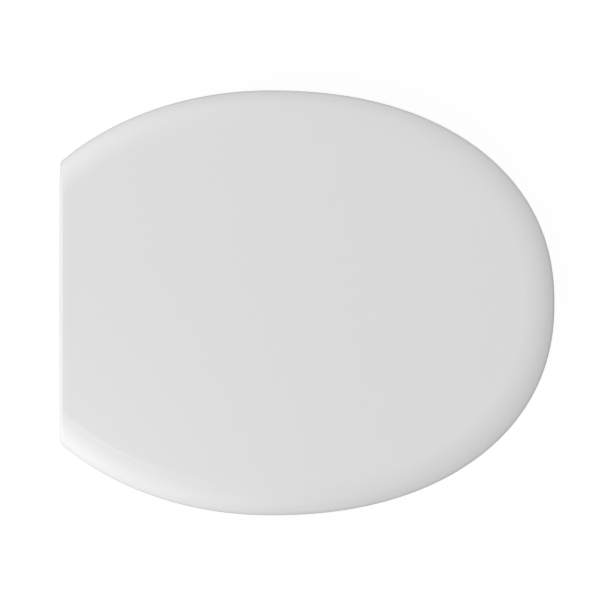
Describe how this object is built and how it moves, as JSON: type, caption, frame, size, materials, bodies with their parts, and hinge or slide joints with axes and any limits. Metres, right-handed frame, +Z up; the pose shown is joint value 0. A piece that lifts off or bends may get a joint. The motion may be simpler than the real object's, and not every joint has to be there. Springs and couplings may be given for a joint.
{
  "type": "toilet seat",
  "caption": "Closed toilet seat: domed lid with a rolled edge and straight rear over a ring with an egg-shaped opening, hinged on posts bolted to the bowl.",
  "frame": {"origin": "midway between the two fixing bolts, on the plane where the gaskets meet the bowl's deck", "axes": "+X to the front of the seat, +Y to the sitter's left, +Z up; the bolts point along -Z"},
  "size_m": [0.43, 0.37, 0.1135],
  "materials": {
    "white_resin": "smooth gloss, moulded white resin",
    "chromed_metal": "polished plating on a casting",
    "steel": "turned, bright",
    "clear_rubber": "soft, milky white",
    "black_rubber": "soft, matt black",
    "white_nylon": "satin, natural white"
  },
  "bodies": {
    "hinge_set": {"hinge_post_left": "chromed_metal", "hinge_post_right": "chromed_metal", "hinge_pin_left": "steel", "hinge_pin_right": "steel", "pin_clip_left": "steel", "pin_clip_right": "steel", "base_gasket_left": "clear_rubber", "base_gasket_right": "clear_rubber", "fixing_bolt_left": "steel", "fixing_bolt_right": "steel", "cone_washer_left": "black_rubber", "cone_washer_right": "black_rubber", "flat_washer_left": "steel", "flat_washer_right": "steel", "wing_nut_left": "white_nylon", "wing_nut_right": "white_nylon"},
    "ring": {"seat_ring": "white_resin", "ring_bumper_front_left": "clear_rubber", "ring_bumper_front_right": "clear_rubber", "ring_bumper_rear_left": "clear_rubber", "ring_bumper_rear_right": "clear_rubber", "ring_bush_left": "white_nylon", "ring_bush_right": "white_nylon"},
    "lid": {"lid": "white_resin", "lid_bumper_left": "clear_rubber", "lid_bumper_right": "clear_rubber", "lid_bush_left": "white_nylon", "lid_bush_right": "white_nylon"}
  },
  "joints": [
    {"name": "ring_hinge", "type": "hinge", "parent": "hinge_set", "child": "ring", "pos_m": [-0.031, 0, 0.024], "axis": [0, -1, 0], "range_deg": [0, 97]},
    {"name": "lid_hinge", "type": "hinge", "parent": "ring", "child": "lid", "pos_m": [-0.031, 0, 0.024], "axis": [0, -1, 0], "range_deg": [0, 105]}
  ]
}
